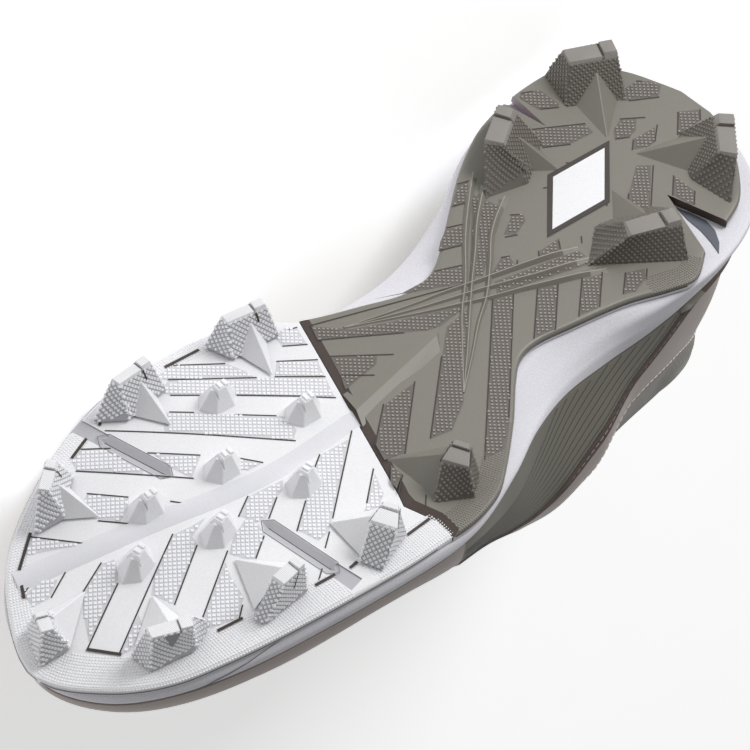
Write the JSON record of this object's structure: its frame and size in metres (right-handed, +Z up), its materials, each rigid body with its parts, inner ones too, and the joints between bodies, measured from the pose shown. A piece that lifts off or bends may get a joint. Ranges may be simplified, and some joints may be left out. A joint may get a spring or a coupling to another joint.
{
  "type": "baseball cleat",
  "caption": "Low-cut baseball cleat, right shoe: hollow shaped upper, foam midsole and moulded two-colour studded sole plates, laced, lying on its medial side.",
  "frame": {"origin": "bottom centre of the box of the shoe lying on its medial side", "axes": "+X runs from the heel to the toe, the sole faces -Y and a little up, +Z is up from the floor"},
  "size_m": [0.2922, 0.1326, 0.1015],
  "materials": {
    "white_plate": "satin moulded plastic",
    "grey_plate": "satin moulded plastic",
    "white_foam": "fine-grained moulded foam",
    "upper": "matt synthetic with ribbed quarter",
    "insole": "knit over foam",
    "tongue": "padded knit",
    "lace": "flat woven lace"
  },
  "bodies": {
    "root": {"forefoot_plate": "white_plate", "rear_plate": "grey_plate", "midsole": "white_foam", "upper": "upper", "insole": "insole", "tongue": "tongue", "lace": "lace"}
  },
  "joints": []
}
